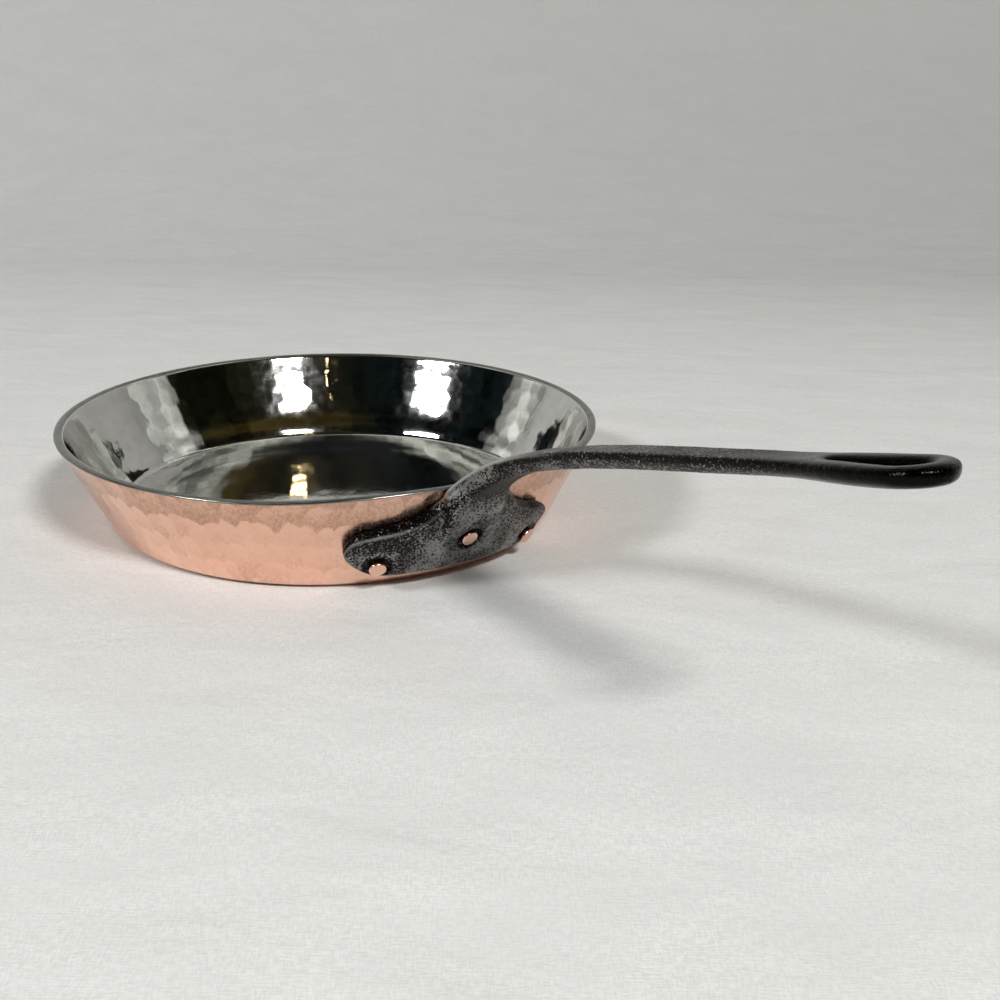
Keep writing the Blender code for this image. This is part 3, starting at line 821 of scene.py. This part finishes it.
def build_stage(material):
    """A pale cloth on the table that sweeps up behind the pan."""
    bend_start = 0.75
    bend_radius = 0.55
    lean = radians(80)
    profile = [(-1.6, 0.0), (bend_start, 0.0)]
    for step in range(1, 17):
        a = lean * step / 16
        profile.append((bend_start + bend_radius * sin(a), bend_radius * (1 - cos(a))))
    end_y, end_z = profile[-1]
    profile.append((end_y + 1.4 * cos(lean), end_z + 1.4 * sin(lean)))
    verts = [(across, reach, rise) for across in (-2.6, 2.6) for reach, rise in profile]
    count = len(profile)
    faces = [(i, count + i, count + i + 1, i + 1) for i in range(count - 1)]
    floor = new_object("cloth", verts, faces)
    floor.rotation_euler.z = CAMERA_HEADING
    floor.data.materials.append(material)


def room_ramp(tree, split, stops):
    """Colours of the room by how high a direction points."""
    ramp = tree.nodes.new("ShaderNodeValToRGB")
    tree.links.new(split.outputs["Z"], ramp.inputs["Fac"])
    elements = ramp.color_ramp.elements
    for _ in stops[2:]:
        elements.new(0.5)
    for element, (position, colour) in zip(elements, stops):
        element.position = position
        element.color = (*colour, 1)
    return ramp.outputs["Color"]


def along(tree, direction, heading, low, high):
    """0 to 1 as a direction turns towards a heading."""
    dot = tree.nodes.new("ShaderNodeVectorMath")
    dot.operation = "DOT_PRODUCT"
    tree.links.new(direction, dot.inputs[0])
    dot.inputs[1].default_value = heading
    share = tree.nodes.new("ShaderNodeMapRange")
    tree.links.new(dot.outputs["Value"], share.inputs["Value"])
    share.inputs["From Min"].default_value = low
    share.inputs["From Max"].default_value = high
    return share.outputs["Result"]


def mix_colours(tree, factor, a, b):
    mix = tree.nodes.new("ShaderNodeMix")
    mix.data_type = "RGBA"
    tree.links.new(factor, mix.inputs["Factor"])
    tree.links.new(a, mix.inputs[6])
    tree.links.new(b, mix.inputs[7])
    return mix.outputs[2]


def build_world():
    """A dim room with a pale wall behind the pan.

    Elsewhere it is pale low down and dark above: green and gold on the camera's right, and
    bluish on its left.
    """
    world = bpy.data.worlds.new("room")
    bpy.context.scene.world = world
    world.use_nodes = True
    tree = world.node_tree
    direction = tree.nodes.new("ShaderNodeTexCoord").outputs["Generated"]
    split = tree.nodes.new("ShaderNodeSeparateXYZ")
    tree.links.new(direction, split.inputs[0])
    blue_side = (
        (0.0, (0.20, 0.20, 0.195)),
        (0.16, (0.11, 0.11, 0.105)),
        (0.32, (0.0035, 0.0055, 0.006)),
        (0.62, (0.002, 0.004, 0.004)),
        (0.86, (0.003, 0.005, 0.005)),
        (1.0, (0.010, 0.012, 0.013)),
    )
    gold_side = (
        (0.0, (0.20, 0.20, 0.195)),
        (0.16, (0.11, 0.11, 0.105)),
        (0.32, (0.002, 0.0035, 0.0015)),
        (0.62, (0.006, 0.006, 0.003)),
        (0.86, (0.040, 0.028, 0.006)),
        (1.0, (0.010, 0.012, 0.013)),
    )
    behind = (
        (0.0, (0.28, 0.28, 0.27)),
        (0.75, (0.36, 0.37, 0.34)),
        (0.92, (0.30, 0.31, 0.28)),
        (1.0, (0.03, 0.03, 0.03)),
    )
    gold_share = along(tree, direction, toward(90, 0), -0.3, 0.3)
    behind_share = along(tree, direction, -toward(0, 0), 0.05, 0.20)
    blue_room = room_ramp(tree, split, blue_side)
    gold_room = room_ramp(tree, split, gold_side)
    sides = mix_colours(tree, gold_share, blue_room, gold_room)
    room = mix_colours(tree, behind_share, sides, room_ramp(tree, split, behind))
    tree.links.new(room, tree.nodes["Background"].inputs["Color"])
    shapes = tree.nodes.new("ShaderNodeTexNoise")
    tree.links.new(direction, shapes.inputs["Vector"])
    shapes.inputs["Scale"].default_value = 4.0
    shapes.inputs["Detail"].default_value = 2.0
    spread = tree.nodes.new("ShaderNodeMapRange")
    tree.links.new(shapes.outputs["Fac"], spread.inputs["Value"])
    for name, number in (("From Min", 0.38), ("From Max", 0.68), ("To Min", 0.35), ("To Max", 3.2)):
        spread.inputs[name].default_value = number
    tree.links.new(spread.outputs["Result"], tree.nodes["Background"].inputs["Strength"])


def build_studio():
    build_camera()
    build_stage(cloth_material())
    build_world()
    for lamp in LAMPS:
        add_lamp(*lamp)
    bpy.context.scene.view_settings.view_transform = "Standard"


# ---------------------------------------------------------------- the whole model


def main():
    copper = copper_material()
    build_copper_body(copper)
    build_tin_lining(tin_material())
    build_handle(iron_material())
    for number, (name, angle, height) in enumerate(RIVETS):
        build_rivet(name, angle, height, copper, SEED + 20 + number)
    build_studio()


main()
